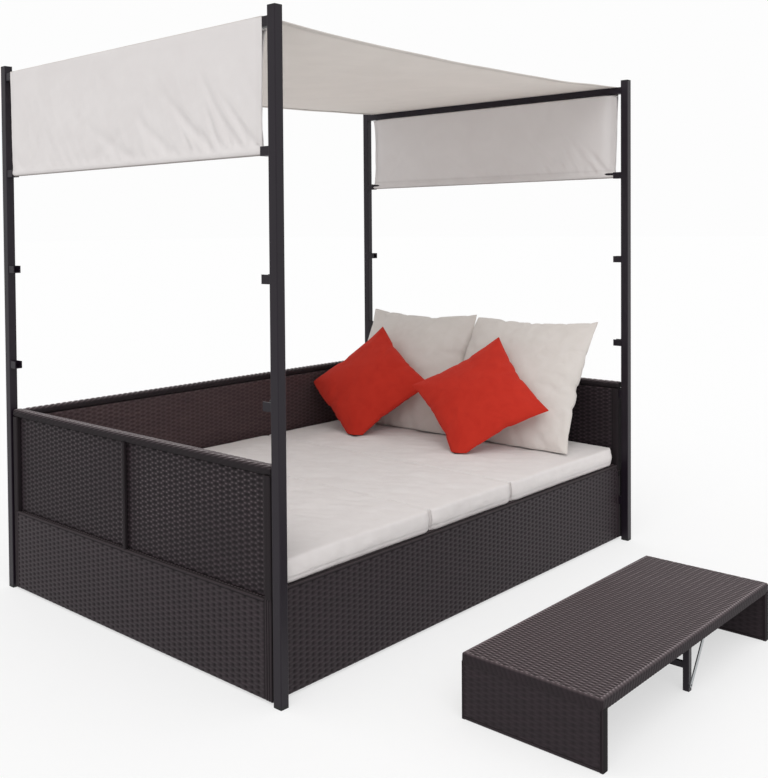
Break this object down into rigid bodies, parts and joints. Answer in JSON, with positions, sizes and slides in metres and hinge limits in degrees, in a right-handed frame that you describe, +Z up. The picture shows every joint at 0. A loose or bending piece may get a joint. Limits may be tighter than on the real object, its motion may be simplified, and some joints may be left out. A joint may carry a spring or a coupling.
{
  "type": "outdoor daybed with canopy",
  "caption": "Outdoor daybed with woven walls, a padded base, a cloth canopy with side shades on four posts, loose pillows and a low folding table.",
  "frame": {"origin": "on the floor under the foot of the bed's middle leg, at the middle of the bed's footprint", "axes": "+X along the bed from its foot end to its pillow end, -Y towards its open side and the table, +Z up"},
  "size_m": [1.9, 2.016, 1.75],
  "materials": {
    "post_metal": "charcoal powder coat, satin",
    "black_plastic": "moulded plastic, matte",
    "wicker": "woven flat synthetic strands on a tube frame, dark brown, satin",
    "canopy_cloth": "thin woven cloth, off-white, lets light through",
    "cream_cloth": "outdoor canvas, cream, matte",
    "red_cloth": "outdoor canvas, brick red, matte",
    "zinc_steel": "zinc plated steel, satin"
  },
  "bodies": {
    "bed": {"post_back_left": "post_metal", "post_foot_back_left": "black_plastic", "post_cap_back_left": "black_plastic", "post_bolt_back_left": "zinc_steel", "post_front_left": "post_metal", "post_foot_front_left": "black_plastic", "post_cap_front_left": "black_plastic", "post_bolt_front_left": "zinc_steel", "post_front_right": "post_metal", "post_foot_front_right": "black_plastic", "post_cap_front_right": "black_plastic", "post_bolt_front_right": "zinc_steel", "post_back_right": "post_metal", "post_foot_back_right": "black_plastic", "post_cap_back_right": "black_plastic", "post_bolt_back_right": "zinc_steel", "top_bar_left": "post_metal", "shade_left": "canopy_cloth", "top_bar_right": "post_metal", "shade_right": "canopy_cloth", "canopy_top": "canopy_cloth", "left_wall_frame": "wicker", "left_wall_weave": "wicker", "left_skirt": "wicker", "right_wall_frame": "wicker", "right_wall_weave": "wicker", "right_skirt": "wicker", "back_wall_frame": "wicker", "back_wall_weave": "wicker", "back_skirt": "wicker", "front_skirt": "wicker", "ledger_back": "post_metal", "ledger_front": "post_metal", "middle_beam": "post_metal", "middle_leg": "post_metal", "middle_foot": "black_plastic", "slat_1": "post_metal", "slat_2": "post_metal", "slat_3": "post_metal", "slat_4": "post_metal", "slat_5": "post_metal"},
    "shade_bar_left": {"shade_bar_left": "post_metal"},
    "shade_bar_right": {"shade_bar_right": "post_metal"},
    "pad_left": {"pad_left": "cream_cloth"},
    "pad_middle": {"pad_middle": "cream_cloth"},
    "pad_right": {"pad_right": "cream_cloth"},
    "pillow_cream_left": {"pillow_cream_left": "cream_cloth"},
    "pillow_cream_right": {"pillow_cream_right": "cream_cloth"},
    "pillow_red_left": {"pillow_red_left": "red_cloth"},
    "pillow_red_right": {"pillow_red_right": "red_cloth"},
    "table": {"table_top": "wicker", "table_hinge_left": "zinc_steel", "table_hinge_right": "zinc_steel"},
    "table_end_panel_left": {"table_end_panel_left": "wicker"},
    "table_end_panel_right": {"table_end_panel_right": "wicker"},
    "table_leg": {"table_leg": "post_metal"},
    "table_stays": {"table_stay_front": "zinc_steel", "table_stay_back": "zinc_steel"}
  },
  "joints": [
    {"name": "shade_left_drop", "type": "slide", "parent": "bed", "child": "shade_bar_left", "axis": [0, 0, 1], "range_m": [-0.638, 0], "deforming": ["shade_left"]},
    {"name": "shade_right_drop", "type": "slide", "parent": "bed", "child": "shade_bar_right", "axis": [0, 0, 1], "range_m": [-0.638, 0], "deforming": ["shade_right"]},
    {"name": "pad_left_lift", "type": "slide", "parent": "bed", "child": "pad_left", "axis": [0, 0, 1], "range_m": [0, 0.2]},
    {"name": "pad_middle_lift", "type": "slide", "parent": "bed", "child": "pad_middle", "axis": [0, 0, 1], "range_m": [0, 0.2]},
    {"name": "pad_right_lift", "type": "slide", "parent": "bed", "child": "pad_right", "axis": [0, 0, 1], "range_m": [0, 0.2]},
    {"name": "pillow_cream_left_lift", "type": "slide", "parent": "pad_right", "child": "pillow_cream_left", "axis": [0, 0, 1], "range_m": [0, 0.25]},
    {"name": "pillow_cream_right_lift", "type": "slide", "parent": "pad_right", "child": "pillow_cream_right", "axis": [0, 0, 1], "range_m": [0, 0.25]},
    {"name": "pillow_red_left_lift", "type": "slide", "parent": "pillow_cream_left", "child": "pillow_red_left", "axis": [-0.5, 0, 0.866], "range_m": [0, 0.25]},
    {"name": "pillow_red_right_lift", "type": "slide", "parent": "pillow_cream_right", "child": "pillow_red_right", "axis": [-0.5, 0, 0.866], "range_m": [0, 0.25]},
    {"name": "table_lift", "type": "slide", "parent": "bed", "child": "table", "axis": [0, 0, 1], "range_m": [0, 0.4]},
    {"name": "table_end_panel_left_fold", "type": "hinge", "parent": "table", "child": "table_end_panel_left", "pos_m": [-0.6535, -1.181, 0.1386], "axis": [0, -1, 0], "range_deg": [0, 90]},
    {"name": "table_end_panel_right_fold", "type": "hinge", "parent": "table", "child": "table_end_panel_right", "pos_m": [0.3075, -1.181, 0.1386], "axis": [0, 1, 0], "range_deg": [0, 90]},
    {"name": "table_leg_fold", "type": "hinge", "parent": "table", "child": "table_leg", "pos_m": [-0.15, -1.181, 0.149], "axis": [0, -1, 0], "range_deg": [0, 90]},
    {"name": "table_stays_fold", "type": "hinge", "parent": "table_leg", "child": "table_stays", "pos_m": [-0.15, -1.181, 0.016], "axis": [0, 1, 0], "range_deg": [0, 142]}
  ],
  "couplings": [
    {"joint": "table_stays_fold", "follows": "table_leg_fold", "ratio": 1.5778}
  ]
}
